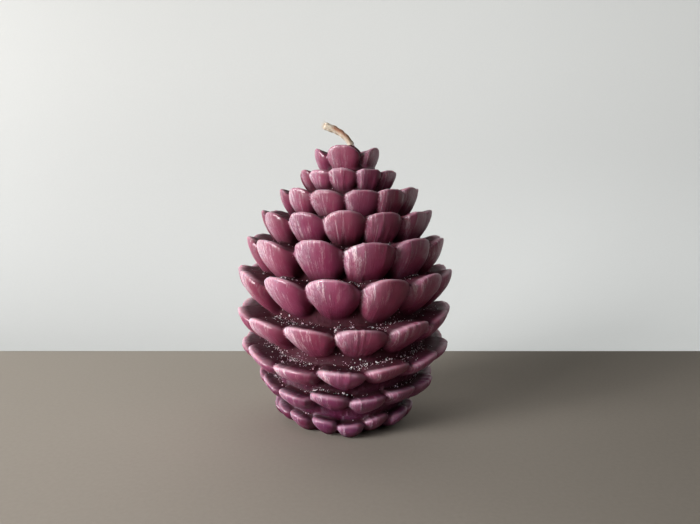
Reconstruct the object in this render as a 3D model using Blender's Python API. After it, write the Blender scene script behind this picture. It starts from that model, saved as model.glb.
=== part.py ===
"""A pinecone candle: one moulded wax body with ten tiers of scales, and one cotton wick.

Metres, +Z up. The origin is the middle of the flat base, on the surface that the candle
stands on. Azimuths are measured from -Y and grow towards +X.
"""

import math
from collections import namedtuple

import bmesh
import bpy
from mathutils import Vector

MM = 0.001

# The tiers, from the tip of the cone down, in millimetres and degrees: how many scales, the
# radius and height of a scale's tip, the azimuth of the first scale, how deep the rounded
# outer face hangs below the rim, how steeply the upper face falls towards the middle, how
# far the rim's corners lie below its crest, the tier's shift along X off the axis, its sway
# (how far the front and back tips lie below the tier's height, and those at the sides above
# it), the length of a scale's rounded end as a share of its width, and its lean: how steeply
# the rims at the sides slope down towards the front.
Tier = namedtuple("Tier", "scales radius height azimuth depth fall crown shift sway corner lean")
TIERS = (
    Tier(5, 9.8, 83.2, -5.0, 8.0, 24.0, 3.2, 0.6, 0.0, 0.34, 0.0),
    Tier(11, 14.6, 76.2, -6.0, 8.5, 14.0, 0.7, 1.2, 0.2, 0.24, 0.0),
    Tier(13, 20.9, 70.7, 10.0, 12.0, 12.0, 1.1, 1.4, 0.4, 0.28, 0.0),
    Tier(13, 25.8, 64.5, -1.6, 12.8, 12.0, 1.8, 0.9, 0.1, 0.36, 0.0),
    Tier(12, 30.0, 56.9, 13.6, 15.0, 10.0, 2.5, 0.6, 0.0, 0.42, 0.0),
    Tier(13, 32.5, 47.4, -5.5, 13.8, 8.0, 2.9, 0.0, 0.0, 0.44, 0.08),
    Tier(13, 32.5, 35.3, 9.3, 10.6, 4.0, 1.6, 0.0, 0.9, 0.38, 0.14),
    Tier(14, 31.7, 24.3, -1.0, 7.8, 1.0, 0.7, 0.0, 1.6, 0.34, 0.22),
    Tier(14, 26.9, 15.2, 15.4, 7.6, 1.0, 0.5, 0.4, 0.6, 0.34, 0.22),
    Tier(15, 21.3, 6.2, 6.3, 7.2, 0.0, 0.5, 0.0, 0.5, 0.36, 0.15),
)
# At two tip heights in millimetres, with a straight change between them: a scale's widest
# part as a share of its tier's pitch, and how full its outer face is from side to side.
BANDS = (12.0, 38.0)
OVERLAP = (1.04, 1.09)
HULL_POWER = (1.85, 2.25)
CORNER_POWER = 2.2      # how square a scale's rounded end is, where 2 is an ellipse
CROWN_POWER = 2.2       # how late the rim drops towards its corners
BELLY_POWER = 1.8       # how full the outer face is from the rim down
HULL_SHARE = 0.62       # how far in it is deepest, as a share of the radius
ROOT_SHARE = 0.45       # a scale's length, as a share of the radius

# The core that the scales grow from: (radius, height) up its side, in millimetres. Its
# flat base stands below the lowest scales by a small step.
BASE_STEP = 0.3
CORE = (
    (13.5, 0.0),
    (16.5, 4.0),
    (21.0, 12.0),
    (23.5, 22.0),
    (24.0, 32.0),
    (23.0, 42.0),
    (21.0, 50.0),
    (17.5, 58.0),
    (15.0, 65.0),
    (11.5, 71.0),
    (8.0, 76.0),
    (6.0, 79.5),
)
BUD_RADIUS = 3.6        # the round bud in the middle of the top tier, around the wick
BUD_TOP = 83.6

# The wick runs straight up from the base to the bud, a little off the axis there, and
# bends over above it: (x, y, z) along its middle, in millimetres.
WICK_RADIUS = 1.0
WICK_CLEARANCE = 0.3
WICK_LINE = ((0.0, 0.0, 0.5), (1.9, 0.0, 83.8))
WICK_BEND = (
    (1.4, -0.1, 85.2),
    (0.0, -0.3, 86.7),
    (-2.4, -0.6, 88.3),
    (-5.9, -1.0, 89.6),
)

STATIONS = (0.03, 0.15, ROOT_SHARE)   # inwards along a scale, as shares of the radius
UPPER_STEPS = 2                       # across a scale's upper face
OUTER_STEPS = 5                       # across its rounded outer face
CORE_STEPS = 24
BUD_SIDES = 14
CHANNEL_SIDES = 16
CHANNEL_OVERRUN = 5.0                 # how far the channel's cutter passes both ends
WICK_STRAIGHT_STEPS = 10
WICK_BEND_STEPS = 4                   # between two points of the bend
WICK_BEND_START = 0.97                # where the smooth bend begins, as a share of the line
WICK_BEVEL = 3


def clear_scene():
    """Start from an empty scene."""
    for old in list(bpy.data.objects):
        bpy.data.objects.remove(old, do_unlink=True)


def plain_material(name, colour, roughness):
    """A Principled material with one colour and roughness."""
    material = bpy.data.materials.new(name)
    material.use_nodes = True
    surface = material.node_tree.nodes["Principled BSDF"]
    surface.inputs["Base Color"].default_value = (*colour, 1.0)
    surface.inputs["Roughness"].default_value = roughness
    surface.inputs["Metallic"].default_value = 0.0
    return material


def object_from(mesh, name):
    """A new object from a bmesh, shaded smooth."""
    data = bpy.data.meshes.new(name)
    mesh.to_mesh(data)
    mesh.free()
    data.shade_smooth()
    made = bpy.data.objects.new(name, data)
    bpy.context.collection.objects.link(made)
    return made


def make_guide(shape):
    """A shape that only cuts or joins."""
    shape.hide_render = True
    shape.display_type = "WIRE"


def directions(azimuth):
    """Outwards and sideways at an azimuth."""
    out = Vector((math.sin(azimuth), -math.cos(azimuth), 0.0))
    return out, Vector((-out.y, out.x, 0.0))


def opening(share, power):
    """How far a rounded end has opened, 0 to 1, at a share of its length."""
    share = min(max(share, 0.0), 1.0)
    return (1.0 - (1.0 - share) ** power) ** (1.0 / power)


def banded(values, tier):
    """The value for a tier, between the ones for the two bands' heights."""
    share = min(max((tier.height - BANDS[0]) / (BANDS[1] - BANDS[0]), 0.0), 1.0)
    return values[0] + share * (values[1] - values[0])


def tip_height(tier, azimuth):
    """How high a scale's tip is, at its azimuth around the tier."""
    return tier.height - tier.sway * math.cos(2.0 * azimuth)


def scale_ring(tier, azimuth, station):
    """The closed ring of points around a scale, at a station inwards from its tip."""
    out, side = directions(azimuth)
    spread = 2.0 * math.pi / tier.scales * banded(OVERLAP, tier)
    width = tier.radius * spread
    inward = station * tier.radius
    reach = tier.radius - inward
    half = 0.5 * reach * spread * opening(inward / (tier.corner * width), CORNER_POWER)
    hang = tier.depth * opening(station / HULL_SHARE, BELLY_POWER)
    ledge = tip_height(tier, azimuth) - inward * math.tan(math.radians(tier.fall))
    upper = [(-1.0 + 2.0 * i / UPPER_STEPS, 0.0) for i in range(UPPER_STEPS + 1)]
    turns = [math.pi * i / OUTER_STEPS for i in range(1, OUTER_STEPS)]
    fullness = 2.0 / banded(HULL_POWER, tier)
    outer = [(math.copysign(abs(math.cos(turn)) ** fullness, math.cos(turn)), math.sin(turn))
             for turn in turns]
    ring = []
    for across, down in upper + outer:
        off = half * across
        corner_drop = tier.crown * abs(2.0 * off / width) ** CROWN_POWER
        sideways = tier.lean * math.sin(azimuth) * off
        z = max(ledge + sideways - corner_drop - hang * down, BASE_STEP)
        ring.append((out * reach + side * off + Vector((tier.shift, 0.0, z))) * MM)
    return ring


def add_scale(mesh, tier, azimuth):
    """One scale: rings from its tip to its root, closed at both ends."""
    out, _ = directions(azimuth)
    offset = Vector((tier.shift, 0.0, tip_height(tier, azimuth)))
    tip = mesh.verts.new((out * tier.radius + offset) * MM)
    rings = []
    for station in STATIONS:
        rings.append([mesh.verts.new(p) for p in scale_ring(tier, azimuth, station)])
    for i, corner in enumerate(rings[0]):
        mesh.faces.new((tip, rings[0][i - 1], corner))
    for near, far in zip(rings, rings[1:]):
        for i in range(len(near)):
            mesh.faces.new((near[i - 1], near[i], far[i], far[i - 1]))
    mesh.faces.new(rings[-1])


def scales_guide():
    """Every scale of every tier, as overlapping closed shapes in one mesh."""
    mesh = bmesh.new()
    for tier in TIERS:
        for i in range(tier.scales):
            add_scale(mesh, tier, math.radians(tier.azimuth + 360.0 * i / tier.scales))
    bmesh.ops.recalc_face_normals(mesh, faces=mesh.faces)
    guide = object_from(mesh, "scales_guide")
    make_guide(guide)
    return guide


def turned_core():
    """The core, turned from its profile."""
    profile = [(0.0, CORE[0][1]), *CORE, (0.0, CORE[-1][1])]
    mesh = bmesh.new()
    points = [mesh.verts.new((r * MM, 0.0, z * MM)) for r, z in profile]
    edges = [mesh.edges.new(pair) for pair in zip(points, points[1:])]
    bmesh.ops.spin(mesh, geom=points + edges, cent=(0.0, 0.0, 0.0), axis=(0.0, 0.0, 1.0),
                   angle=2.0 * math.pi, steps=CORE_STEPS)
    bmesh.ops.remove_doubles(mesh, verts=mesh.verts, dist=1e-6)
    bmesh.ops.recalc_face_normals(mesh, faces=mesh.faces)
    return object_from(mesh, "wax_body")


def bud_guide():
    """The round bud that the wick comes out of."""
    mesh = bmesh.new()
    bmesh.ops.create_uvsphere(mesh, u_segments=BUD_SIDES, v_segments=BUD_SIDES // 2,
                              radius=BUD_RADIUS * MM)
    guide = object_from(mesh, "bud_guide")
    guide.location = Vector((WICK_LINE[1][0], 0.0, BUD_TOP - BUD_RADIUS)) * MM
    make_guide(guide)
    return guide


def channel_guide():
    """The straight hole that the wax leaves around the wick, open at both ends."""
    foot, head = (Vector(p) * MM for p in WICK_LINE)
    radius = (WICK_RADIUS + WICK_CLEARANCE) * MM
    mesh = bmesh.new()
    bmesh.ops.create_cone(mesh, cap_ends=True, segments=CHANNEL_SIDES, radius1=radius,
                          radius2=radius,
                          depth=(head - foot).length + 2.0 * CHANNEL_OVERRUN * MM)
    guide = object_from(mesh, "channel_guide")
    guide.location = (foot + head) / 2.0
    guide.rotation_mode = "QUATERNION"
    guide.rotation_quaternion = (head - foot).to_track_quat("Z", "Y")
    make_guide(guide)
    return guide


def combine(body, guide, operation, overlapping=False):
    """A Boolean step, where overlapping says that the guide's own shapes overlap."""
    step = body.modifiers.new(guide.name, "BOOLEAN")
    step.operation = operation
    step.solver = "EXACT"
    step.use_self = overlapping
    step.object = guide


def wax_body():
    """The casting: the core with its bud, drilled for the wick and joined to the scales."""
    body = turned_core()
    body.data.materials.append(plain_material("plum_wax", (0.30, 0.10, 0.16), 0.3))
    combine(body, bud_guide(), "UNION")
    combine(body, channel_guide(), "DIFFERENCE")
    combine(body, scales_guide(), "UNION", overlapping=True)
    return body


def smooth_run(points, steps):
    """Points on a Catmull-Rom curve through the given ones."""
    padded = [2.0 * points[0] - points[1], *points, 2.0 * points[-1] - points[-2]]
    run = []
    for a, b, c, d in zip(padded, padded[1:], padded[2:], padded[3:]):
        for i in range(steps):
            t = i / steps
            run.append(0.5 * (2.0 * b + (c - a) * t + (2.0 * a - 5.0 * b + 4.0 * c - d) * t**2
                              + (3.0 * b - a - 3.0 * c + d) * t**3))
    run.append(points[-1])
    return run


def wick():
    """The wick's whole length: a straight run inside the wax and the bend above it."""
    foot, head = (Vector(p) for p in WICK_LINE)
    start = foot.lerp(head, WICK_BEND_START)
    straight = [foot.lerp(start, i / WICK_STRAIGHT_STEPS) for i in range(WICK_STRAIGHT_STEPS)]
    bend = smooth_run([start, head, *(Vector(p) for p in WICK_BEND)], WICK_BEND_STEPS)
    middle = straight + bend
    curve = bpy.data.curves.new("wick", "CURVE")
    curve.dimensions = "3D"
    curve.bevel_depth = WICK_RADIUS * MM
    curve.bevel_resolution = WICK_BEVEL
    curve.use_fill_caps = True
    spline = curve.splines.new("POLY")
    spline.points.add(len(middle) - 1)
    for point, place in zip(spline.points, middle):
        point.co = (*(place * MM), 1.0)
    curve.materials.append(plain_material("waxed_cotton", (0.62, 0.47, 0.33), 0.75))
    made = bpy.data.objects.new("wick", curve)
    bpy.context.collection.objects.link(made)
    return made


clear_scene()
wax_body()
wick()
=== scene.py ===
"""Looks of the pinecone candle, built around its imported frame. Metres, +Z up.

The wax casting is made again as one fine mesh: every scale as a shell, the core as a turned
profile with the wick's channel in it, all merged, softened and grooved. Small beads of wax lie
in its crevices. The wick is a plait of three cotton plies with frayed ends. Azimuths are
measured from -Y and grow towards +X.
"""
import math
from collections import namedtuple

import bmesh
import bpy
import numpy as np
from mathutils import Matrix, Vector
from mathutils.kdtree import KDTree


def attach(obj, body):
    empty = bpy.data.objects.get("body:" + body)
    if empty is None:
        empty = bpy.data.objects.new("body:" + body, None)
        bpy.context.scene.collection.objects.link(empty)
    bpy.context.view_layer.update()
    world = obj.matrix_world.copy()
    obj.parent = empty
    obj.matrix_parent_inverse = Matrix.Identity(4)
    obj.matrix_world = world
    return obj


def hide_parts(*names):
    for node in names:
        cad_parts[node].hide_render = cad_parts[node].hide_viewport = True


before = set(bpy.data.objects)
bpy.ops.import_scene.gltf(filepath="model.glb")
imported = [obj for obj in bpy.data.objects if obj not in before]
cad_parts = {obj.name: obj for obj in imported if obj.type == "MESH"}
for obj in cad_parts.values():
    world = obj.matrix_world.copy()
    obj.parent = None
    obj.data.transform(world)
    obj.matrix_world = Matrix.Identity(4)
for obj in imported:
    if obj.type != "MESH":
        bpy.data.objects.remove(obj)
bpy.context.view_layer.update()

MM = 0.001
TINY = 1e-3
SEED = 7

# ---------------------------------------------------------------- the scales, as in the CAD

# Millimetres and degrees, from the tip of the cone down: how many scales, the radius and
# height of a scale's tip, the azimuth of the first scale, how deep the outer face hangs below
# the rim, how steeply the upper face falls inwards, how far the rim's corners lie below its
# crest, the tier's shift along X, how much lower the front and back tips are than the tips
# at the sides, the length of a scale's rounded end as a share of its width, and how steeply
# the rims at the sides slope down towards the front.
Tier = namedtuple("Tier", "scales radius height azimuth depth fall crown shift sway corner lean")
TIERS = (
    Tier(5, 9.8, 83.2, -5.0, 8.0, 24.0, 3.2, 0.6, 0.0, 0.34, 0.0),
    Tier(11, 14.6, 76.2, -6.0, 8.5, 14.0, 0.7, 1.2, 0.2, 0.24, 0.0),
    Tier(13, 20.9, 70.7, 10.0, 12.0, 12.0, 1.1, 1.4, 0.4, 0.28, 0.0),
    Tier(13, 25.8, 64.5, -1.6, 12.8, 12.0, 1.8, 0.9, 0.1, 0.36, 0.0),
    Tier(12, 30.0, 56.9, 13.6, 15.0, 10.0, 2.5, 0.6, 0.0, 0.42, 0.0),
    Tier(13, 32.5, 47.4, -5.5, 13.8, 8.0, 2.9, 0.0, 0.0, 0.44, 0.08),
    Tier(13, 32.5, 35.3, 9.3, 10.6, 4.0, 1.6, 0.0, 0.9, 0.38, 0.14),
    Tier(14, 31.7, 24.3, -1.0, 7.8, 1.0, 0.7, 0.0, 1.6, 0.34, 0.22),
    Tier(14, 26.9, 15.2, 15.4, 7.6, 1.0, 0.5, 0.4, 0.6, 0.34, 0.22),
    Tier(15, 21.3, 6.2, 6.3, 7.2, 0.0, 0.5, 0.0, 0.5, 0.36, 0.15),
)
# At two heights: a scale's widest part as a share of its tier's pitch, how full its outer
# face is from side to side, and how much the scales of a tier differ from each other.
BANDS = (12.0, 38.0)
OVERLAP = (1.04, 1.09)
HULL_POWER = (1.85, 2.25)
LOOSENESS = (1.9, 1.0)
CORNER_POWER = 2.2      # how square a scale's rounded end is, where 2 is an ellipse
CROWN_POWER = 2.2       # how late the rim drops towards its corners
BELLY_POWER = 1.8       # how full the outer face is from the rim down
HULL_SHARE = 0.62       # how far in it is deepest, as a share of the radius
ROOT_SHARE = 0.45       # a scale's length, as a share of the radius
BASE_STEP = 0.3         # how far the lowest scales stop above the base
EDGE_SHARE = 1.1        # the rim's roundness in millimetres, for each unit of a tier's corner
DISH_DEPTH = 0.35       # how far the upper face sinks behind the rim
DISH_WIDTH = 1.6        # how far behind the rim most of that happens

# The core up its side: (radius, height), from the base to the flat shoulder round the bud.
CORE = (
    (13.5, 0.0),
    (16.5, 4.0),
    (21.0, 12.0),
    (23.5, 22.0),
    (24.0, 32.0),
    (23.0, 42.0),
    (21.0, 50.0),
    (17.5, 58.0),
    (15.0, 65.0),
    (11.5, 71.0),
    (8.0, 76.0),
    (6.0, 79.5),
)
CORE_SIDES = 96
CORE_ROWS = 60
BASE_RINGS = (4.0, 9.0)  # radii of the extra rings that keep the base flat
BUD_RADIUS = 3.6
BUD_NECK = 4.6          # the radius where the bud meets the shoulder
BUD_SHARE = 0.92        # how much of the bud's arc is kept below the collar
BUD_STEPS = 10
BUD_TOP = 83.6
COLLAR = 0.7            # how far the wax creeps up the wick above the bud
CHANNEL_RADIUS = 1.05
CHANNEL_FOOT = 2.0
CHANNEL_STEPS = 40

# The wick's middle line: straight through the wax, then the bend above it.
WICK_FOOT = Vector((0.0, 0.0, 0.5))
WICK_HEAD = Vector((1.9, 0.0, 83.8))
WICK_BEND = (
    Vector((1.4, -0.1, 85.2)),
    Vector((0.0, -0.3, 86.7)),
    Vector((-2.4, -0.6, 88.3)),
    Vector((-5.9, -1.0, 89.6)),
)

# How finely the wax is made, in millimetres, the most triangles it may keep, and how it is
# softened and marked.
VOXEL = 0.36
WAX_TRIANGLES = 190_000
STATION_STEPS = 22      # along a scale
STATION_POWER = 1.6     # how much closer together they are near its tip
UPPER_STEPS = 14        # across its upper face
OUTER_STEPS = 22        # and round its outer face
FAN = 0.7               # how much the marks on a scale fan out as it narrows
HIGHLIGHT_SIDE_TURN = 0.62        # how far the side of a scale with the frost and painted highlight turns with its azimuth, towards -X
HIGHLIGHT_SIDE_TURN_BACK = 0.25   # and towards +X
SOFTENING = 4           # rounds of smoothing that melt the edges and fill the grooves
BULGE_ROUNDS = 10       # rounds that tell a rim from the wax beside it
DEPTH_ROUNDS = 90       # and a groove or gap from the wax around it
RIM_HIGHLIGHT_WIDTH = 0.5         # the pale rim, a painted highlight, in millimetres
SIDE_RIM_HIGHLIGHT = 0.8          # how much of it goes on down the sides
# The wax's unevenness, each with its height and its size, in millimetres.
SWELL, SWELL_SIZE = 0.16, 5.0
RIPPLE, RIPPLE_SIZE = 0.06, 1.7
RIDGE = 0.17            # the height of the lengthwise ridges
RIDGES_ACROSS = 1.1     # how many there are in a millimetre across a scale
RIDGES_ALONG = 0.1      # and along it
RIDGE_PATCH = (4.0, 7.0)
BASE_SLACK = 0.25       # wax this near to the floor is the base
BASE_MARGIN = 0.3       # how far past the core's foot that goes
CHANNEL_LIP = 0.5       # and how far from the channel it starts


# ---------------------------------------------------------------- small helpers

def opening(share, power):
    """How far a rounded end has opened, 0 to 1, at a share of its length."""
    share = np.clip(share, 0.0, 1.0)
    return (1.0 - (1.0 - share) ** power) ** (1.0 / power)


def fade(value, low, high):
    """0 below low, 1 above high, and smooth between them."""
    t = np.clip((value - low) / (high - low), 0.0, 1.0)
    return t * t * (3.0 - 2.0 * t)


def lattice(cells):
    """A repeatable random value from -1 to 1 for each integer cell."""
    mixed = cells[..., 0] * 374761393 + cells[..., 1] * 668265263 + cells[..., 2] * 1274126177
    mixed = (mixed ^ (mixed >> 13)) * 1103515245
    mixed = (mixed ^ (mixed >> 16)) & 0xFFFF
    return mixed / 32767.5 - 1.0


def value_noise(points):
    """Smooth noise from -1 to 1 at each point, with one lattice cell per unit."""
    cell = np.floor(points).astype(np.int64)
    part = points - cell
    part = part * part * (3.0 - 2.0 * part)
    total = np.zeros(len(points))
    for corner in np.ndindex(2, 2, 2):
        step = np.array(corner)
        weight = np.prod(np.where(step == 1, part, 1.0 - part), axis=1)
        total += weight * lattice(cell + step)
    return total


def mesh_object(name, vertices, faces):
    """A new object from points in millimetres."""
    mesh = bpy.data.meshes.new(name)
    mesh.from_pydata([tuple(p) for p in np.asarray(vertices) * MM], [], faces)
    made = bpy.data.objects.new(name, mesh)
    bpy.context.scene.collection.objects.link(made)
    return made


def vertex_array(mesh, what="co"):
    values = np.empty(len(mesh.vertices) * 3, np.float32)
    mesh.vertices.foreach_get(what, values)
    return values.reshape(-1, 3).astype(float)


def set_vertices(mesh, points):
    mesh.vertices.foreach_set("co", np.asarray(points, np.float32).ravel())
    mesh.update()


def edge_array(mesh):
    pairs = np.empty(len(mesh.edges) * 2, np.int32)
    mesh.edges.foreach_get("vertices", pairs)
    return pairs.reshape(-1, 2)


def smoothed(points, edges, rounds, strength=0.5):
    """Points moved towards the middle of their neighbours, several times."""
    count = len(points)
    degree = np.bincount(edges.ravel(), minlength=count).clip(1)[:, None]
    for _ in range(rounds):
        total = np.empty_like(points)
        for axis in range(3):
            near = np.bincount(edges[:, 0], points[edges[:, 1], axis], count)
            far = np.bincount(edges[:, 1], points[edges[:, 0], axis], count)
            total[:, axis] = near + far
        points = points + strength * (total / degree - points)
    return points


def with_modifier(source, kind, **settings):
    """The source's mesh after one modifier. The source keeps its own mesh."""
    step = source.modifiers.new(kind.lower(), kind)
    for key, value in settings.items():
        setattr(step, key, value)
    graph = bpy.context.evaluated_depsgraph_get()
    mesh = bpy.data.meshes.new_from_object(source.evaluated_get(graph), depsgraph=graph)
    source.modifiers.remove(step)
    return mesh


def set_attribute(mesh, name, values):
    """Gives each point of a mesh a number, or a vector if there are three columns."""
    values = np.asarray(values, np.float32)
    single = values.ndim == 1
    layer = mesh.attributes.new(name, "FLOAT" if single else "FLOAT_VECTOR", "POINT")
    layer.data.foreach_set("value" if single else "vector", values.ravel())


def tube(path, radii, sides, wave=None):
    """Rings of points along a path with a frame that doesn't twist, and the faces between."""
    path = np.asarray(path, float)
    ahead = np.gradient(path, axis=0)
    ahead /= np.linalg.norm(ahead, axis=1)[:, None]
    side = np.cross(ahead[0], (0.3, 1.0, 0.2))
    turns = 2.0 * math.pi * np.arange(sides) / sides
    rings = []
    for i, (middle, along, radius) in enumerate(zip(path, ahead, radii)):
        side = side - along * np.dot(side, along)
        side /= np.linalg.norm(side)
        up = np.cross(along, side)
        reach = radius * (1.0 if wave is None else wave(i, turns))
        spokes = np.outer(np.cos(turns), side) + np.outer(np.sin(turns), up)
        rings.append(middle + spokes * np.reshape(reach * np.ones(sides), (-1, 1)))
    faces = []
    for i in range(len(path) - 1):
        for j in range(sides):
            k = (j + 1) % sides
            a, b = i * sides, (i + 1) * sides
            faces.append((a + j, a + k, b + k, b + j))
    faces.append(tuple(reversed(range(sides))))
    last = (len(path) - 1) * sides
    faces.append(tuple(range(last, last + sides)))
    return np.concatenate(rings), faces


class Gathered:
    """Points and faces of several shapes, gathered for one mesh."""

    def __init__(self):
        self.points, self.faces, self.count = [], [], 0

    def add(self, points, faces):
        self.points.append(np.asarray(points, float))
        self.faces += [tuple(i + self.count for i in face) for face in faces]
        self.count += len(points)

    def all_points(self):
        return np.concatenate(self.points)


# ---------------------------------------------------------------- the wax

def pitch(tier):
    """The angle that a scale's widest part takes up, in radians."""
    return 2.0 * math.pi / tier.scales * np.interp(tier.height, BANDS, OVERLAP)


def scale_shell(tier, azimuth, vary):
    """One scale's points and faces."""
    radius = tier.radius + vary["reach"]
    spread = pitch(tier) * vary["width"]
    width = radius * spread
    stations = ROOT_SHARE * (np.arange(STATION_STEPS + 1) / STATION_STEPS) ** STATION_POWER
    upper = np.linspace(-1.0, 1.0, UPPER_STEPS + 1)
    turns = math.pi * np.arange(1, OUTER_STEPS) / OUTER_STEPS
    hull_power = np.interp(tier.height, BANDS, HULL_POWER)
    outer = np.sign(np.cos(turns)) * np.abs(np.cos(turns)) ** (2.0 / hull_power)
    across = np.concatenate([upper, outer])[None, :]
    down = np.concatenate([np.zeros(UPPER_STEPS + 1), np.sin(turns)])[None, :]

    inward = (stations * radius)[:, None]
    half = 0.5 * (radius - inward) * spread * opening(inward / (tier.corner * width), CORNER_POWER)
    off = half * across
    hang = tier.depth * vary["depth"] * opening(stations / HULL_SHARE, BELLY_POWER)[:, None] * down
    drop = tier.crown * vary["crown"] * np.abs(2.0 * off / width) ** CROWN_POWER
    from_side = half - np.abs(off)
    from_edge = 1.0 / (1.0 / (from_side + TINY) + 1.0 / (inward + TINY))
    on_top = (down == 0.0) * np.ones_like(off)
    rounding = EDGE_SHARE * tier.corner
    to_crest = 1.0 - np.clip(from_edge / rounding, 0.0, 1.0) * on_top
    edge = rounding * (1.0 - np.sqrt(1.0 - to_crest**2))
    past_crest = np.maximum(from_edge - rounding, 0.0) * on_top
    dish = DISH_DEPTH * (1.0 - np.exp(-(past_crest / DISH_WIDTH) ** 2))
    slope = vary["tilt"] - tier.lean * math.sin(azimuth)
    tilt = math.tan(math.radians(tier.fall)) * inward + slope * off
    height = tier.height + vary["lift"] - tier.sway * math.cos(2.0 * azimuth)
    z = np.maximum(height - tilt - drop - hang - edge - dish, BASE_STEP)

    out = np.array((math.sin(azimuth), -math.cos(azimuth), 0.0))
    side = np.array((math.cos(azimuth), math.sin(azimuth), 0.0))
    reach = np.broadcast_to(radius - inward, off.shape)
    points = reach[..., None] * out + off[..., None] * side
    points = points + np.stack([np.full(off.shape, tier.shift), 0.0 * z, z], axis=-1)
    sides = points.shape[1]

    faces = []
    for i in range(STATION_STEPS):
        for j in range(sides):
            k = (j + 1) % sides
            a, b = i * sides, (i + 1) * sides
            faces.append((a + j, a + k, b + k, b + j))
    last = STATION_STEPS * sides
    faces.append(tuple(range(last, last + sides)))
    faces.append(tuple(reversed(range(sides))))
    return points.reshape(-1, 3), faces


def core_shell():
    """The turned core with its bud and the wick's channel, leaning as the wick does."""
    heights = np.linspace(0.0, CORE[-1][1], CORE_ROWS)
    wall = np.interp(heights, [z for _, z in CORE], [r for r, _ in CORE])
    profile = [(r, 0.0) for r in (CHANNEL_RADIUS, *BASE_RINGS)] + [*zip(wall, heights)]
    middle = BUD_TOP - BUD_RADIUS
    profile += [(BUD_NECK, CORE[-1][1] - 0.1)]
    top = math.acos(CHANNEL_RADIUS / BUD_RADIUS)
    for turn in np.linspace(0.0, BUD_SHARE * top, BUD_STEPS):
        profile.append((BUD_RADIUS * math.cos(turn), middle + BUD_RADIUS * math.sin(turn)))
    profile += [(CHANNEL_RADIUS + 0.2, BUD_TOP + 0.1), (CHANNEL_RADIUS + 0.02, BUD_TOP + COLLAR)]
    inside = np.linspace(BUD_TOP + COLLAR - 0.1, CHANNEL_FOOT, CHANNEL_STEPS)
    profile += [(CHANNEL_RADIUS, z) for z in inside]
    profile = np.array(profile)
    turns = 2.0 * math.pi * np.arange(CORE_SIDES) / CORE_SIDES
    points = np.stack([np.outer(profile[:, 0], np.cos(turns)),
                       np.outer(profile[:, 0], np.sin(turns)),
                       np.repeat(profile[:, 1:2], CORE_SIDES, axis=1)], axis=-1)
    points[..., 0] += WICK_HEAD.x * points[..., 2] / WICK_HEAD.z
    rows = len(profile)
    faces = []
    for i in range(rows):
        for j in range(CORE_SIDES):
            k = (j + 1) % CORE_SIDES
            a, b = i * CORE_SIDES, ((i + 1) % rows) * CORE_SIDES
            faces.append((a + j, a + k, b + k, b + j))
    return points.reshape(-1, 3), faces


def wax_shells():
    """Every scale and the core as overlapping shells. Also, for each point of a scale, which
    scale it belongs to, and for each scale its azimuth, radius, height, depth, crown, width,
    shift, slope and a random tint."""
    draw = np.random.default_rng(SEED)
    shells, owner, scales = Gathered(), [], []
    for tier in TIERS:
        loose = np.interp(tier.height, BANDS, LOOSENESS)
        for i in range(tier.scales):
            vary = {
                "reach": loose * draw.uniform(-0.35, 0.35),
                "lift": loose * draw.uniform(-0.35, 0.35),
                "width": draw.uniform(0.97, 1.04) - 0.03 * (loose - 1.0),
                "depth": draw.uniform(0.94, 1.06),
                "crown": draw.uniform(0.8, 1.2),
                "tilt": loose * draw.uniform(-0.04, 0.10),
            }
            azimuth = math.radians(tier.azimuth + 360.0 * i / tier.scales + draw.uniform(-1, 1))
            points, faces = scale_shell(tier, azimuth, vary)
            shells.add(points, faces)
            owner.append(np.full(len(points), len(scales)))
            height = tier.height + vary["lift"] - tier.sway * math.cos(2.0 * azimuth)
            width = tier.radius * pitch(tier)
            slope = vary["tilt"] - tier.lean * math.sin(azimuth)
            scales.append((azimuth, tier.radius, height, tier.depth, tier.crown, width,
                           tier.shift, slope, draw.uniform(0.0, 1.0)))
    shells.add(*core_shell())
    return shells, np.concatenate(owner), np.array(scales)


class Owners:
    """Which scale each point of the merged wax came from, and its place on that scale."""

    def __init__(self, shells, owner, scales):
        self.tree = KDTree(len(owner))
        for i, place in enumerate(shells.all_points()[:len(owner)]):
            self.tree.insert(place, i)
        self.tree.balance()
        self.owner, self.scales = owner, scales

    def places(self, points):
        """Across the scale, fanned out as it narrows; along it from its tip; below its rim,
        all in millimetres. Also the share of the way from its middle to its side, the same
        share turned with the scale's azimuth, and its tint."""
        index = self.owner[[self.tree.find(p)[1] for p in points]]
        azimuth, radius, height, depth, crown, width, shift, slope, tint = self.scales[index].T
        x, y, z = points.T
        x = x - shift
        across = x * np.cos(azimuth) + y * np.sin(azimuth)
        inward = radius - x * np.sin(azimuth) + y * np.cos(azimuth)
        below = height - slope * across - crown * np.abs(2.0 * across / width) ** CROWN_POWER - z
        along = np.hypot(inward, height - z)
        fan = 1.0 + FAN * np.clip(below / depth, 0.0, 1.2) ** 1.5
        narrow = np.sqrt((1.0 - (0.9 * below / depth).clip(0.0, 1.0) ** 2).clip(0.15))
        share = np.clip(2.0 * across / (width * narrow), -1.2, 1.2)
        # Turned with the azimuth, so that the frost and painted highlight lie on the side of each
        # scale that looks towards -X, where the window's light falls.
        turned = np.sin(azimuth)
        side = share + np.where(turned < 0.0, HIGHLIGHT_SIDE_TURN, HIGHLIGHT_SIDE_TURN_BACK) * turned
        return across * fan, along, below, share, side, tint


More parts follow.
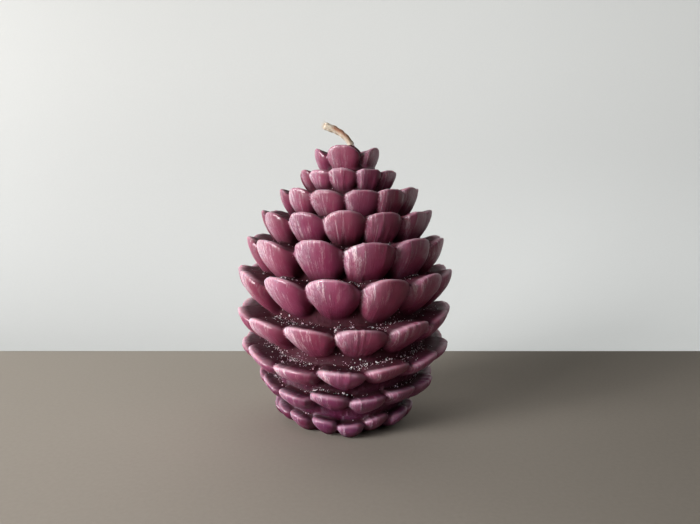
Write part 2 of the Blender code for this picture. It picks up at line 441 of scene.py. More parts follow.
def grooved(mesh, owners):
    """Softens the merged shells, and gives the wax swells, lengthwise ridges and patches."""
    points = smoothed(vertex_array(mesh) / MM, edge_array(mesh), SOFTENING)
    set_vertices(mesh, points * MM)
    across, along, _, _, _, tint = owners.places(points)
    swell = SWELL * value_noise(points / SWELL_SIZE)
    swell += RIPPLE * value_noise(points / RIPPLE_SIZE + 31.0)
    ridges = value_noise(np.column_stack([across * RIDGES_ACROSS, along * RIDGES_ALONG,
                                          tint * 50.0]))
    patches = value_noise(np.column_stack([across / RIDGE_PATCH[0], along / RIDGE_PATCH[1],
                                           tint * 70.0]))
    swell += RIDGE * fade(ridges, 0.05, 0.75) * fade(patches, -0.4, 0.4)
    normals = vertex_array(mesh, "normal")
    points = points + normals * (swell * fade(points[:, 2], 0.4, 2.0))[:, None]
    set_vertices(mesh, points * MM)


def thinned(body):
    """Takes the body down to the most triangles that it may keep."""
    triangles = sum(len(p.vertices) - 2 for p in body.data.polygons)
    if triangles > WAX_TRIANGLES:
        body.data = with_modifier(body, "DECIMATE", ratio=WAX_TRIANGLES / triangles)
        body.data.name = "wax_casting"


def level_base(mesh):
    """Puts the base's points on the floor, and none below it."""
    points = vertex_array(mesh) / MM
    span = np.hypot(points[:, 0], points[:, 1])
    flat = (points[:, 2] < BASE_SLACK) & (span < CORE[0][0] + BASE_MARGIN)
    flat &= span > CHANNEL_RADIUS + CHANNEL_LIP
    points[flat, 2] = 0.0
    points[:, 2] = points[:, 2].clip(0.0)
    set_vertices(mesh, points * MM)
    return points


def make_wax():
    """The wax, and its points, normals, depth in the crevices and distance inside the tips."""
    shells, owner, scales = wax_shells()
    owners = Owners(shells, owner, scales)
    rough = mesh_object("wax_shells", shells.all_points(), shells.faces)
    merged = with_modifier(rough, "REMESH", mode="VOXEL", voxel_size=VOXEL * MM)
    bpy.data.objects.remove(rough, do_unlink=True)
    grooved(merged, owners)

    body = bpy.data.objects.new("wax_casting", merged)
    bpy.context.scene.collection.objects.link(body)
    thinned(body)
    mesh = body.data
    points = level_base(mesh)
    across, along, below, share, side, tint = owners.places(points)
    normals = vertex_array(mesh, "normal")
    edges = edge_array(mesh)
    spread = smoothed(points, edges, BULGE_ROUNDS)
    bulge = np.einsum("ij,ij->i", points - spread, normals)
    wide = smoothed(spread, edges, DEPTH_ROUNDS)
    depth = -np.einsum("ij,ij->i", points - wide, normals)
    envelope = np.interp(points[:, 2], [t.height for t in reversed(TIERS)],
                         [t.radius for t in reversed(TIERS)])
    inset = envelope - np.hypot(points[:, 0], points[:, 1])
    # A pale line along each rim and down the scales' sides: a painted highlight.
    rim_highlight_mask = np.exp(-(below / RIM_HIGHLIGHT_WIDTH) ** 2)
    side_highlight_mask = SIDE_RIM_HIGHLIGHT * fade(np.abs(share), 0.86, 0.98)
    set_attribute(mesh, "scale_place", np.column_stack([across, along, tint]))
    set_attribute(mesh, "rim", np.maximum(rim_highlight_mask, side_highlight_mask) * fade(bulge, 0.02, 0.13))
    set_attribute(mesh, "depth", depth)
    set_attribute(mesh, "inset", inset)
    set_attribute(mesh, "upward", normals[:, 2])
    # side: where on a scale the frost and painted highlight lie, turned towards -X.
    set_attribute(mesh, "side", side)
    set_attribute(mesh, "share", share)
    mesh.shade_smooth()
    return body, points, normals, depth, inset


# ---------------------------------------------------------------- materials

class Nodes:
    """Short calls for building one material's node tree."""

    def __init__(self, name):
        self.material = bpy.data.materials.new(name)
        self.material.use_nodes = True
        self.tree = self.material.node_tree
        self.surface = self.tree.nodes["Principled BSDF"]

    def constants(self, settings):
        for name, value in settings.items():
            self.surface.inputs[name].default_value = value

    def add(self, kind, **settings):
        node = self.tree.nodes.new(kind)
        for key, value in settings.items():
            setattr(node, key, value)
        return node

    def link(self, source, target):
        self.tree.links.new(source, target)

    def fill(self, socket, value):
        if isinstance(value, bpy.types.NodeSocket):
            self.link(value, socket)
        else:
            socket.default_value = value

    def times(self, a, b):
        return self.maths("MULTIPLY", a, b)

    def maths(self, operation, a, b=0.0, clamp=False):
        node = self.add("ShaderNodeMath", operation=operation, use_clamp=clamp)
        self.fill(node.inputs[0], a)
        self.fill(node.inputs[1], b)
        return node.outputs[0]

    def range(self, value, low, high, to_low=0.0, to_high=1.0):
        node = self.add("ShaderNodeMapRange", interpolation_type="SMOOTHSTEP")
        for socket, v in zip(node.inputs, (value, low, high, to_low, to_high)):
            self.fill(socket, v)
        return node.outputs[0]

    def mix(self, share, a, b, blend="MIX"):
        node = self.add("ShaderNodeMix", data_type="RGBA", blend_type=blend)
        self.fill(node.inputs["Factor"], share)
        self.fill(node.inputs[6], a if isinstance(a, bpy.types.NodeSocket) else (*a, 1.0))
        self.fill(node.inputs[7], b if isinstance(b, bpy.types.NodeSocket) else (*b, 1.0))
        return node.outputs[2]

    def attribute(self, name, output="Fac"):
        return self.add("ShaderNodeAttribute", attribute_name=name).outputs[output]

    def object_place(self):
        return self.add("ShaderNodeTexCoord").outputs["Object"]

    def axes(self, vector):
        node = self.add("ShaderNodeSeparateXYZ")
        self.link(vector, node.inputs[0])
        return node.outputs

    def stretched(self, vector, scale):
        node = self.add("ShaderNodeVectorMath", operation="MULTIPLY")
        self.link(vector, node.inputs[0])
        node.inputs[1].default_value = scale
        return node.outputs[0]

    def noise(self, vector, scale, detail=2.0, roughness=0.5):
        node = self.add("ShaderNodeTexNoise")
        self.link(vector, node.inputs["Vector"])
        node.inputs["Scale"].default_value = scale
        node.inputs["Detail"].default_value = detail
        node.inputs["Roughness"].default_value = roughness
        return node.outputs[0]

    def bump(self, height, distance, strength=1.0, below=None):
        node = self.add("ShaderNodeBump")
        node.inputs["Strength"].default_value = strength
        node.inputs["Distance"].default_value = distance
        self.link(height, node.inputs["Height"])
        if below is not None:
            self.link(below, node.inputs["Normal"])
        return node.outputs[0]


# The wax's colours: fresh and dusty wax, each also near the base, and the tint of some scales.
WAX_FRESH = (0.24, 0.030, 0.088)
WAX_FRESH_LOW = (0.21, 0.030, 0.118)
WAX_DUSTY = (0.34, 0.077, 0.154)
WAX_DUSTY_LOW = (0.28, 0.074, 0.178)
WAX_TINTED = (0.28, 0.052, 0.075)
# What lies on it, from a haze to a pale crust, partly real bloom and frost and partly painted
# sheen and highlight, and its rims' painted highlight.
WAX_BLOOM_AND_SHEEN = (0.55, 0.36, 0.47)
WAX_FROST_AND_HIGHLIGHT = (0.90, 0.74, 0.78)
WAX_RIM_HIGHLIGHT = (0.74, 0.48, 0.56)
# What it darkens to, all painted shade: at the scales' sides, underneath, on the ledges and in the
# grooves.
WAX_SIDE_SHADE = (0.10, 0.011, 0.032)
WAX_UNDER_SHADE = (0.12, 0.010, 0.032)
WAX_LEDGE_SHADE = (0.045, 0.003, 0.010)
WAX_GROOVE_SHADE = (0.04, 0.004, 0.009)
# Filters over the upper tiers, and painted shade over the lowest ones.
UPPER_FILTER = (0.86, 0.88, 0.88)
LOWEST_SHADE_FILTER = (0.66, 0.56, 0.66)


def wax_frost_and_highlight(n, place, body, fine, broad, lit_side_frost):
    """How much pale frost and how much hazy bloom each point has, both partly painted highlight
    and sheen. Both lie on the upper part of a scale and on the side that looks towards -X, where
    the window's light falls."""
    height = n.axes(body)[2]
    side = n.attribute("side")
    grain = n.noise(n.stretched(place, (5.0, 1.5, 17.0)), 1.0, 2.0)
    streaks_and_glints = n.times(n.range(fine, 0.53, 0.56), n.range(broad, 0.38, 0.49))
    streaks_and_glints = n.times(streaks_and_glints, n.range(grain, 0.38, 0.52, 0.25, 1.0))
    streaks_and_glints = n.times(streaks_and_glints, n.range(side, -0.75, 0.45, 1.0, 0.06))
    crumbs = n.noise(n.stretched(place, (2.4, 0.9, 29.0)), 1.0, 4.0, 0.65)
    # Low down the crust spreads, partly as painted glints on the lower tiers.
    crumbs = n.maths("ADD", crumbs, n.range(height, 0.015, 0.035, 0.012, 0.0))
    crust_and_glints = n.times(n.range(crumbs, 0.49, 0.54), n.range(side, -1.1, -0.3, 1.0, 0.0))
    upper = n.times(n.range(n.axes(place)[1], 1.0, 13.0, 1.0, 0.1), lit_side_frost)
    upper = n.times(upper, n.range(height, 0.050, 0.068, 1.0, 0.6))
    frost_and_highlight = n.times(n.maths("MAXIMUM", streaks_and_glints, crust_and_glints), upper)
    mottle = n.noise(body, 260.0, 3.0)
    haze_and_sheen = n.times(n.range(mottle, 0.3, 0.6, 0.4, 1.0), upper)
    haze_and_sheen = n.times(haze_and_sheen, n.range(side, -1.1, 0.25, 1.0, 0.0))
    bloom_and_sheen = n.times(haze_and_sheen, n.range(height, 0.012, 0.036, 0.35, 0.7))
    return frost_and_highlight, bloom_and_sheen


def wax_painted_shade(n, height):
    """How much painted shade each point gets: deep inside the tips, on a ledge, or at the base."""
    inset = n.attribute("inset")
    ledge_shade = n.times(n.range(n.attribute("upward"), 0.1, 0.6), n.range(inset, 0.8, 3.2))
    painted_shade = n.maths("MAXIMUM", n.range(inset, 5.0, 10.5), ledge_shade)
    return n.maths("MAXIMUM", painted_shade, n.range(height, 0.0005, 0.0035, 1.0, 0.0))


def wax_colour(n, place, body, frost_and_highlight, bloom_and_sheen, lit_side_frost, painted_shade):
    """The colour, from the wax itself to what lies on it, with painted highlights, and painted
    shade in its gaps, at its sides and underneath.
    """
    height = n.axes(body)[2]
    low = n.range(height, 0.0, 0.045, 1.0, 0.0)
    cloud = n.range(n.noise(body, 70.0, 3.0), 0.3, 0.7)
    colour = n.mix(cloud, n.mix(low, WAX_FRESH, WAX_FRESH_LOW),
                   n.mix(low, WAX_DUSTY, WAX_DUSTY_LOW))
    colour = n.mix(n.range(n.axes(place)[2], 0.0, 1.0, 0.0, 0.4), colour, WAX_TINTED)
    # Bloom and frost, partly real and partly painted sheen and highlight on the side the window
    # lights.
    colour = n.mix(bloom_and_sheen, colour, WAX_BLOOM_AND_SHEEN)
    colour = n.mix(n.times(frost_and_highlight, 0.9), colour, WAX_FROST_AND_HIGHLIGHT)
    # A pale rim, painted highlight, strongest where the frost lies.
    pale = n.times(n.attribute("rim"), n.range(lit_side_frost, 0.2, 1.0, 0.4, 0.7))
    colour = n.mix(pale, colour, WAX_RIM_HIGHLIGHT)
    # Painted shade on the right side of each scale, away from the window.
    colour = n.mix(n.range(n.attribute("share"), 0.0, 0.95, 0.0, 0.6), colour, WAX_SIDE_SHADE)
    # Painted shade on the wax that faces down.
    colour = n.mix(n.range(n.attribute("upward"), -0.9, -0.1, 0.35, 0.0), colour, WAX_UNDER_SHADE)
    # Painted shade deep inside the tips, on the ledges and at the base.
    colour = n.mix(n.times(painted_shade, 0.92), colour, WAX_LEDGE_SHADE)
    # Painted shade in the grooves and gaps.
    groove_shade = n.range(n.attribute("depth"), -0.1, 1.1)
    colour = n.mix(n.times(groove_shade, 0.9), colour, WAX_GROOVE_SHADE)
    colour = n.mix(n.range(height, 0.048, 0.064), colour, UPPER_FILTER, "MULTIPLY")
    # Painted shade over the lowest tiers, near the floor.
    return n.mix(n.range(height, 0.006, 0.026, 1.0, 0.0), colour, LOWEST_SHADE_FILTER, "MULTIPLY")


def wax_relief(n, body, fine, broad):
    """Lengthwise marks, most on the side of a scale that carries the frost and its painted
    highlight, then swells, dimples and pits.
    """
    marks = n.times(fine, n.range(n.attribute("side"), -0.6, 0.5, 1.0, 0.2))
    relief = n.bump(marks, 0.00035, 0.9)
    relief = n.bump(broad, 0.0003, 0.35, relief)
    relief = n.bump(n.noise(body, 330.0, 3.0), 0.0003, 0.6, relief)
    return n.bump(n.noise(body, 900.0, 2.0), 0.00004, 0.5, relief)


def wax_gloss(n):
    """The coat: on the outer faces only, and weaker where they are seen edge on."""
    shown = n.times(n.range(n.attribute("inset"), 3.0, 7.0, 1.0, 0.0),
                    n.range(n.attribute("depth"), 0.2, 1.0, 1.0, 0.0))
    shown = n.times(shown, n.range(n.attribute("upward"), -0.6, 0.0, 0.05, 1.0))
    facing = n.add("ShaderNodeLayerWeight").outputs["Facing"]
    return n.times(shown, n.range(facing, 0.30, 0.80, 1.0, 0.0))


def wax_material():
    n = Nodes("plum_wax")
    place = n.attribute("scale_place", "Vector")
    body = n.object_place()
    right, _, height = n.axes(body)
    # The frost and its painted highlight get weaker towards +X, away from the window, and most of
    # all near the base.
    lit_side_frost = n.range(right, 0.0, 0.026, 1.0, n.range(height, 0.02, 0.045, 0.15, 0.5))
    fine = n.noise(n.stretched(place, (1.7, 0.13, 41.0)), 1.0, 5.0, 0.68)
    broad = n.noise(n.stretched(place, (0.4, 0.12, 23.0)), 1.0, 2.0)
    frost_and_highlight, bloom_and_sheen = wax_frost_and_highlight(n, place, body, fine, broad, lit_side_frost)
    painted_shade = wax_painted_shade(n, height)
    n.link(wax_colour(n, place, body, frost_and_highlight, bloom_and_sheen, lit_side_frost, painted_shade),
           n.surface.inputs["Base Color"])
    rough = n.range(fine, 0.3, 0.7, 0.34, 0.5)
    rough = n.maths("ADD", rough, n.times(frost_and_highlight, 0.12))
    n.link(n.maths("ADD", rough, n.times(painted_shade, 0.45), clamp=True),
           n.surface.inputs["Roughness"])
    relief = wax_relief(n, body, fine, broad)
    n.link(relief, n.surface.inputs["Normal"])
    n.link(relief, n.surface.inputs["Coat Normal"])
    n.link(wax_gloss(n), n.surface.inputs["Coat Weight"])
    n.constants({
        "Subsurface Weight": 0.5,
        "Subsurface Radius": (1.0, 0.28, 0.4),
        "Subsurface Scale": 0.002,
        "IOR": 1.5,
        "Specular IOR Level": 0.24,
        "Coat Roughness": 0.08,
    })
    return n.material


def bead_material():
    n = Nodes("clear_wax_bubbles")
    cloud = n.noise(n.object_place(), 600.0, 2.0)
    colour = n.mix(n.range(cloud, 0.35, 0.65), (0.84, 0.50, 0.62), (0.97, 0.92, 0.94))
    n.link(colour, n.surface.inputs["Base Color"])
    n.link(n.range(cloud, 0.3, 0.7, 0.06, 0.16), n.surface.inputs["Roughness"])
    n.constants({
        "Subsurface Weight": 0.3,
        "Subsurface Radius": (1.0, 0.5, 0.6),
        "Subsurface Scale": 0.0006,
        "Coat Weight": 0.8,
        "Coat Roughness": 0.05,
    })
    return n.material


def cotton_material():
    """Waxed cotton in two shades, patchy, with a stain that turns redder towards the tip."""
    n = Nodes("waxed_cotton")
    place = n.attribute("ply_place", "Vector")
    threads = n.noise(n.stretched(place, (5.0, 0.35, 9.0)), 1.0, 3.0, 0.6)
    cloud = n.noise(n.object_place(), 420.0, 3.0)
    colour = n.mix(n.range(threads, 0.3, 0.7), (0.62, 0.48, 0.35), (0.84, 0.75, 0.62))
    colour = n.mix(n.range(cloud, 0.4, 0.75, 0.0, 0.4), colour, (0.60, 0.42, 0.30))
    along = n.axes(place)[1]
    stain = n.mix(n.range(along, 86.5, 90.5), (0.20, 0.11, 0.04), (0.42, 0.13, 0.05))
    stained = n.times(n.attribute("soaked"), n.range(threads, 0.2, 0.7, 1.0, 0.65))
    n.link(n.mix(stained, colour, stain), n.surface.inputs["Base Color"])
    n.link(n.range(threads, 0.3, 0.7, 0.75, 0.5), n.surface.inputs["Roughness"])
    n.link(n.bump(threads, 0.00012, 0.9), n.surface.inputs["Normal"])
    n.constants({
        "Subsurface Weight": 0.2,
        "Subsurface Radius": (1.0, 0.7, 0.5),
        "Subsurface Scale": 0.0006,
    })
    return n.material


# ---------------------------------------------------------------- the beads in the crevices

BEADS = 2400
# How thickly they lie at each height, in millimetres: hardly any near the top, most of them
# on the ledges of the lower tiers.
BEAD_HEIGHTS = (0.0, 7.0, 14.0, 25.0, 37.0, 48.0, 58.0, 72.0)
BEAD_SHARES = (0.0, 0.15, 0.7, 1.0, 0.7, 0.25, 0.12, 0.05)
BEAD_SIZES = (0.06, 0.32)   # the smallest radius, and how much larger the largest is
BEAD_RISE = 0.35            # how far a bead's middle lies above the wax, in radii
BEAD_PATCH = 5.0            # the size of the patches that they lie in, in millimetres
BEAD_STRAYS = 0.08          # how thickly they lie outside the patches


def make_beads(points, normals, depth, inset):
    """Small bubbles of wax, half sunk in the ledges and crevices between the tiers."""
    draw = np.random.default_rng(SEED + 1)
    want = np.interp(points[:, 2], BEAD_HEIGHTS, BEAD_SHARES)
    sheltered = 0.5 * fade(depth, 0.0, 0.9) + 0.7 * fade(inset, 2.5, 6.0)
    want *= fade(normals[:, 2], -0.5, 0.6) * sheltered
    want *= BEAD_STRAYS + fade(value_noise(points / BEAD_PATCH + 11.0), -0.4, 0.5)
    picked = draw.choice(len(points), BEADS, replace=False, p=want / want.sum())
    ball = bmesh.new()
    bmesh.ops.create_icosphere(ball, subdivisions=2, radius=1.0)
    shape = np.array([v.co[:] for v in ball.verts])
    shape_faces = [tuple(v.index for v in f.verts) for f in ball.faces]
    ball.free()
    beads = Gathered()
    for i in picked:
        radius = BEAD_SIZES[0] + BEAD_SIZES[1] * draw.beta(0.8, 5.0)
        squash = draw.uniform(0.75, 1.0, 3)
        middle = points[i] + normals[i] * radius * BEAD_RISE
        beads.add(middle + shape * radius * squash, shape_faces)
    made = mesh_object("crevice_beads", beads.all_points(), beads.faces)
    made.data.shade_smooth()
    return made


# ---------------------------------------------------------------- the wick

# Millimetres. The plait is three plies around a waxed filling.
PLY_RADIUS = 0.52
PLAIT_WIDTH = 0.40
PLAIT_DEPTH = 0.22
PLAIT_PITCH = 6.6
HEART_RADIUS = 0.82
HEART_MARK = 5.0        # what tells the filling from plies 0, 1 and 2 in the cotton's pattern
LOOSENING = 0.3         # how much wider the plait gets over its last stretch
LOOSE_LENGTH = 9.0
WICK_STEP = 0.3
WICK_SIDES = 14
THREADS = 6             # ridges around each ply, their height and their twist
THREAD_HEIGHT = 0.07
THREAD_TWIST = 2.6
STAIN_UPPER = 0.75      # how far the stain turns to the wick's upper side
STAIN_FRONT = 0.65      # and to its front
BEND_STEPS = 60
# Loose fibres: how many in all, how many of them at the cut end, and how far down they reach.
FIBRES = 150
TIP_FIBRES = 90
FIBRE_REACH = 11.0
FIBRE_STEPS = 7
FIBRE_RADII = (0.035, 0.015)
FIBRE_SIDES = 5
FIBRE_ROOT = 0.3        # how far back inside the cotton a fibre starts


def wick_path():
    """Evenly spaced points along the wick's middle, and how far along it they are."""
    start = WICK_FOOT.lerp(WICK_HEAD, 0.97)
    knots = [WICK_FOOT, WICK_FOOT.lerp(WICK_HEAD, 0.5), start, WICK_HEAD, *WICK_BEND]
    knots = [np.array(k) for k in knots]
    padded = [2 * knots[0] - knots[1], *knots, 2 * knots[-1] - knots[-2]]
    run = []
    for a, b, c, d in zip(padded, padded[1:], padded[2:], padded[3:]):
        for t in np.linspace(0.0, 1.0, BEND_STEPS, endpoint=False):
            run.append(0.5 * (2 * b + (c - a) * t + (2 * a - 5 * b + 4 * c - d) * t**2
                              + (3 * b - a - 3 * c + d) * t**3))
    run = np.array(run + [knots[-1]])
    gone = np.concatenate([[0.0], np.cumsum(np.linalg.norm(np.diff(run, axis=0), axis=1))])
    places = np.arange(0.0, gone[-1], WICK_STEP)
    even = np.column_stack([np.interp(places, gone, run[:, i]) for i in range(3)])
    return even, places


def soaking(points, path, ahead, lengthwise):
    """How brown the old wax has stained each point: a band along the wick's front and upper
    side, from just above the wax to just short of the cut end."""
    sides = len(points) // len(path)
    off = points - np.repeat(path, sides, axis=0)
    off /= np.linalg.norm(off, axis=1)[:, None]
    upper = np.cross(ahead, (0.0, -1.0, 0.0))
    upper /= np.linalg.norm(upper, axis=1)[:, None]
    band = np.repeat(upper * STAIN_UPPER + np.array((0.0, -STAIN_FRONT, 0.0)), sides, axis=0)
    facing = np.einsum("ij,ij->i", off, band)
    above = lengthwise - np.linalg.norm(np.array(WICK_HEAD - WICK_FOOT))
    end = lengthwise[-1]
    before_end = 1.0 - fade(lengthwise, end - 3.2, end - 1.6)
    return fade(facing, 0.2, 0.75) * fade(above, 0.0, 1.5) * before_end


def make_wick():
    """The plait with its filling, and the path and directions that it follows."""
    path, gone = wick_path()
    ahead = np.gradient(path, axis=0)
    ahead /= np.linalg.norm(ahead, axis=1)[:, None]
    side = np.cross(ahead, (0.0, 1.0, 0.0))
    side /= np.linalg.norm(side, axis=1)[:, None]
    up = np.cross(side, ahead)
    loose = 1.0 + LOOSENING * fade(gone, gone[-1] - LOOSE_LENGTH, gone[-1])
    around = np.tile(np.arange(WICK_SIDES) / WICK_SIDES * 3.0, len(gone))
    lengthwise = np.repeat(gone, WICK_SIDES)
    plies, places, soak = Gathered(), [], []

    def lay(line, radii, mark, wave=None):
        points, faces = tube(line, radii, WICK_SIDES, wave)
        plies.add(points, faces)
        places.append(np.column_stack([around, lengthwise, np.full(len(around), mark)]))
        soak.append(soaking(points, path, ahead, lengthwise))

    for ply in range(3):
        turn = 2.0 * math.pi * (gone / PLAIT_PITCH + ply / 3.0)
        line = path + side * (PLAIT_WIDTH * loose * np.sin(turn))[:, None]
        line += up * (PLAIT_DEPTH * loose * np.sin(2.0 * turn))[:, None]

        def threads(i, turns, ply=ply):
            return 1.0 + THREAD_HEIGHT * np.cos(THREADS * turns + gone[i] * THREAD_TWIST + ply)

        taper = loose * (1.0 - 0.12 * fade(gone, gone[-1] - 0.5, gone[-1]))
        lay(line, PLY_RADIUS * taper, float(ply), threads)
    lay(path, HEART_RADIUS * loose, HEART_MARK)
    made = mesh_object("wick_braid", plies.all_points(), plies.faces)
    set_attribute(made.data, "ply_place", np.concatenate(places))
    set_attribute(made.data, "soaked", np.concatenate(soak))
    made.data.shade_smooth()
    return made, path, ahead


def make_fibres(path, ahead):
    """Frayed cotton at the cut end, and a few loose fibres along the exposed length."""
    draw = np.random.default_rng(SEED + 2)
    fibres = Gathered()
    shown = int(FIBRE_REACH / WICK_STEP)
    for i in range(FIBRES):
        at_tip = i < TIP_FIBRES
        index = len(path) - 1 if at_tip else len(path) - 1 - draw.integers(2, shown)
        along = ahead[index]
        away = draw.normal(size=3)
        away -= along * np.dot(away, along)
        away /= np.linalg.norm(away)
        start = path[index] + away * (draw.uniform(0.0, 0.75) if at_tip else 0.8)
        length = draw.uniform(0.5, 1.3) if at_tip else draw.uniform(0.5, 1.1)
        lean = draw.uniform(0.1, 0.8) if at_tip else draw.uniform(0.2, 0.5)
        curl = draw.normal(size=3) * 0.25
        steps = np.linspace(0.0, 1.0, FIBRE_STEPS)[:, None]
        line = start + length * (steps * (along + away * lean) + steps**2 * curl)
        line -= FIBRE_ROOT * along
        fibres.add(*tube(line, np.linspace(*FIBRE_RADII, FIBRE_STEPS), FIBRE_SIDES))
    made = mesh_object("wick_fibres", fibres.all_points(), fibres.faces)
    zero = np.zeros(fibres.count)
    place = np.column_stack([zero, np.linspace(0.0, 60.0, fibres.count), zero])
    set_attribute(made.data, "ply_place", place)
    set_attribute(made.data, "soaked", zero)
    made.data.shade_smooth()
    return made


# ---------------------------------------------------------------- the studio

# Metres. The cloth reaches this far both ways. The sheet starts behind the candle, a hair
# above the cloth, and curves up into a wall.
CLOTH_HALF = 2.0
SHEET_FOOT = 0.081
SHEET_LIFT = 0.0002
SHEET_BEND = 0.18
SHEET_STEPS = 24
SHEET_TOP = 1.5
SHEET_HALF = 0.6
WALL_DISTANCE = 2.0
WALL_FOOT = -0.001
WALL_TOP = 3.0
WALL_SIDES = 64
MATT = 0.9              # the roughness of the cloth, the sheet and the wall
# The darkest and lightest grain of each.
CLOTH_PLAIN = (0.39, 0.35, 0.30), (0.43, 0.385, 0.33)
# The cloth's painted shade, to the right of the candle.
CLOTH_PAINTED_SHADE = (0.22, 0.195, 0.165), (0.25, 0.222, 0.188)
SHEET_GRAIN = (0.42, 0.425, 0.415), (0.45, 0.455, 0.445)
WALL_GRAIN = (0.50, 0.51, 0.50), (0.53, 0.54, 0.53)
COOL_GLOW = (0.97, 1.0, 0.985, 1.0)
WARM_GLOW = (0.93, 0.86, 0.78, 1.0)
# Each light's name, place, size, watts and colour.
LIGHTS = (
    ("window", (-0.72, -0.50, 0.225), (0.45, 0.45), 11.9, (1.0, 0.99, 0.99)),
    ("window_pane", (-0.68, -0.46, 0.28), (0.10, 0.30), 1.8, (1.0, 1.0, 1.0)),
    ("ceiling", (-0.15, 0.1, 0.9), (0.5, 0.5), 0.3, (1.0, 1.0, 1.0)),
    ("fill", (0.40, -0.35, 0.50), (0.4, 0.4), 0.5, (1.0, 1.0, 1.0)),
)
LIGHT_AIM = (0.0, 0.0, 0.045)
ROOM_COLOUR = (0.9, 0.93, 1.0, 1.0)
ROOM_STRENGTH = 0.02
CAMERA_PLACE = (0.0017, -0.171, 0.0646)
CAMERA_DIP = 5.3        # degrees below level


def studio_material(name, grain_scale, colours):
    """A matt surface with a slight grain: its nodes, and their place, grain and colour."""
    n = Nodes(name)
    place = n.object_place()
    grain = n.noise(place, grain_scale, 2.0)
    n.constants({"Roughness": MATT})
    return n, place, grain, n.mix(grain, *colours)


def make_cloth():
    """A pale cloth under the candle, with painted shade to its right. Far away it glows slightly.
    """
    corners = [(x / MM, y / MM, 0.0) for y in (-CLOTH_HALF, CLOTH_HALF)
               for x in (-CLOTH_HALF, CLOTH_HALF)]
    cloth = mesh_object("studio_floor", corners, [(0, 1, 3, 2)])
    n, place, grain, plain = studio_material("pale_cloth", 900.0, CLOTH_PLAIN)
    # Painted shade on the cloth to the right of the candle.
    painted_cloth_shade = n.mix(grain, *CLOTH_PAINTED_SHADE)
    n.link(n.mix(n.range(n.axes(place)[0], -0.06, 0.11), plain, painted_cloth_shade),
           n.surface.inputs["Base Color"])
    away = n.add("ShaderNodeVectorMath", operation="LENGTH")
    n.link(place, away.inputs[0])
    n.link(n.range(away.outputs["Value"], 0.3, 1.5, 0.0, 0.3),
           n.surface.inputs["Emission Strength"])
    n.constants({"Emission Color": WARM_GLOW, "Specular IOR Level": 0.1})
    cloth.data.materials.append(n.material)
    return cloth


def make_sheet():
    """A pale sheet that curves up behind the candle. It glows a little, most at its foot and
    on the right, where the window lights it least."""
    run = []
    for turn in np.linspace(0.0, 0.5 * math.pi, SHEET_STEPS):
        run.append((SHEET_FOOT + SHEET_BEND * math.sin(turn),
                    SHEET_LIFT + SHEET_BEND * (1 - math.cos(turn))))
    run.append((SHEET_FOOT + SHEET_BEND, SHEET_TOP))
    points = [(x / MM, y / MM, z / MM) for y, z in run for x in (-SHEET_HALF, SHEET_HALF)]
    faces = [(2 * i, 2 * i + 1, 2 * i + 3, 2 * i + 2) for i in range(len(run) - 1)]
    sheet = mesh_object("studio_backdrop", points, faces)
    sheet.data.shade_smooth()
    n, place, _, colour = studio_material("pale_paper", 900.0, SHEET_GRAIN)
    n.link(colour, n.surface.inputs["Base Color"])
    right, _, height = n.axes(place)
    n.link(n.times(n.range(height, 0.0, 0.12, 0.29, 0.21), n.range(right, -0.22, 0.14, 0.7, 1.22)),
           n.surface.inputs["Emission Strength"])
    n.constants({"Emission Color": COOL_GLOW})
    sheet.data.materials.append(n.material)
    return sheet


def make_floor():
    """The cloth and the sheet."""
    return make_cloth(), make_sheet()


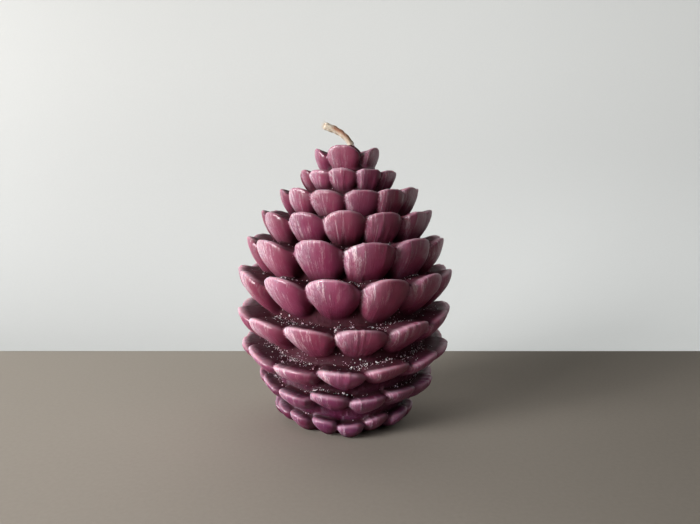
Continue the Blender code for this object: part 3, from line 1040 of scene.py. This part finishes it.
def make_surround():
    """A far pale wall all round, for views from the side and the back. It lights nothing."""
    turns = 2.0 * math.pi * np.arange(WALL_SIDES) / WALL_SIDES
    ring = np.column_stack([np.cos(turns), np.sin(turns)]) * (WALL_DISTANCE / MM)
    points = [(x, y, z / MM) for z in (WALL_FOOT, WALL_TOP) for x, y in ring]
    faces = []
    for i in range(WALL_SIDES):
        k = (i + 1) % WALL_SIDES
        faces.append((i, k, WALL_SIDES + k, WALL_SIDES + i))
    wall = mesh_object("studio_surround", points, faces)
    wall.data.shade_smooth()
    for ray in ("diffuse", "glossy", "transmission", "shadow"):
        setattr(wall, "visible_" + ray, False)
    n, _, _, colour = studio_material("far_wall", 3.0, WALL_GRAIN)
    n.link(colour, n.surface.inputs["Base Color"])
    n.constants({"Emission Color": COOL_GLOW, "Emission Strength": 0.5})
    wall.data.materials.append(n.material)
    return wall


def area_light(name, place, size, power, colour):
    """A rectangular light that points at the candle's middle. Metres and watts."""
    light = bpy.data.lights.new(name, "AREA")
    light.shape = "RECTANGLE"
    light.size, light.size_y = size
    light.energy = power
    light.color = colour
    made = bpy.data.objects.new(name, light)
    made.location = place
    aim = Vector(LIGHT_AIM) - Vector(place)
    made.rotation_euler = aim.to_track_quat("-Z", "Y").to_euler()
    bpy.context.scene.collection.objects.link(made)


def make_studio():
    """A low window on the left, its bright pane, and weak light from above and the right."""
    make_floor()
    make_surround()
    for light in LIGHTS:
        area_light(*light)
    world = bpy.data.worlds.new("room")
    world.use_nodes = True
    background = world.node_tree.nodes["Background"]
    background.inputs["Color"].default_value = ROOM_COLOUR
    background.inputs["Strength"].default_value = ROOM_STRENGTH
    bpy.context.scene.world = world
    bpy.context.scene.view_settings.view_transform = "Standard"


def make_camera():
    """A short lens close to the candle, level with its upper tiers and tipped down a little."""
    camera = bpy.data.cameras.new("camera")
    camera.lens = 28.8
    camera.sensor_width = 36.0
    camera.clip_start = 0.005
    made = bpy.data.objects.new("camera", camera)
    made.location = CAMERA_PLACE
    made.rotation_euler = (math.radians(90.0 - CAMERA_DIP), 0.0, 0.0)
    bpy.context.scene.collection.objects.link(made)
    bpy.context.scene.camera = made


# ---------------------------------------------------------------- putting it together

make_camera()
make_studio()
wax, *wax_surface = make_wax()
wax.data.materials.append(wax_material())
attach(wax, "root")
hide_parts("wax_body")

beads = make_beads(*wax_surface)
beads.data.materials.append(bead_material())
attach(beads, "root")

cotton = cotton_material()
braid, braid_path, braid_ahead = make_wick()
braid.data.materials.append(cotton)
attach(braid, "root")
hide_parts("wick")
fibres = make_fibres(braid_path, braid_ahead)
fibres.data.materials.append(cotton)
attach(fibres, "root")
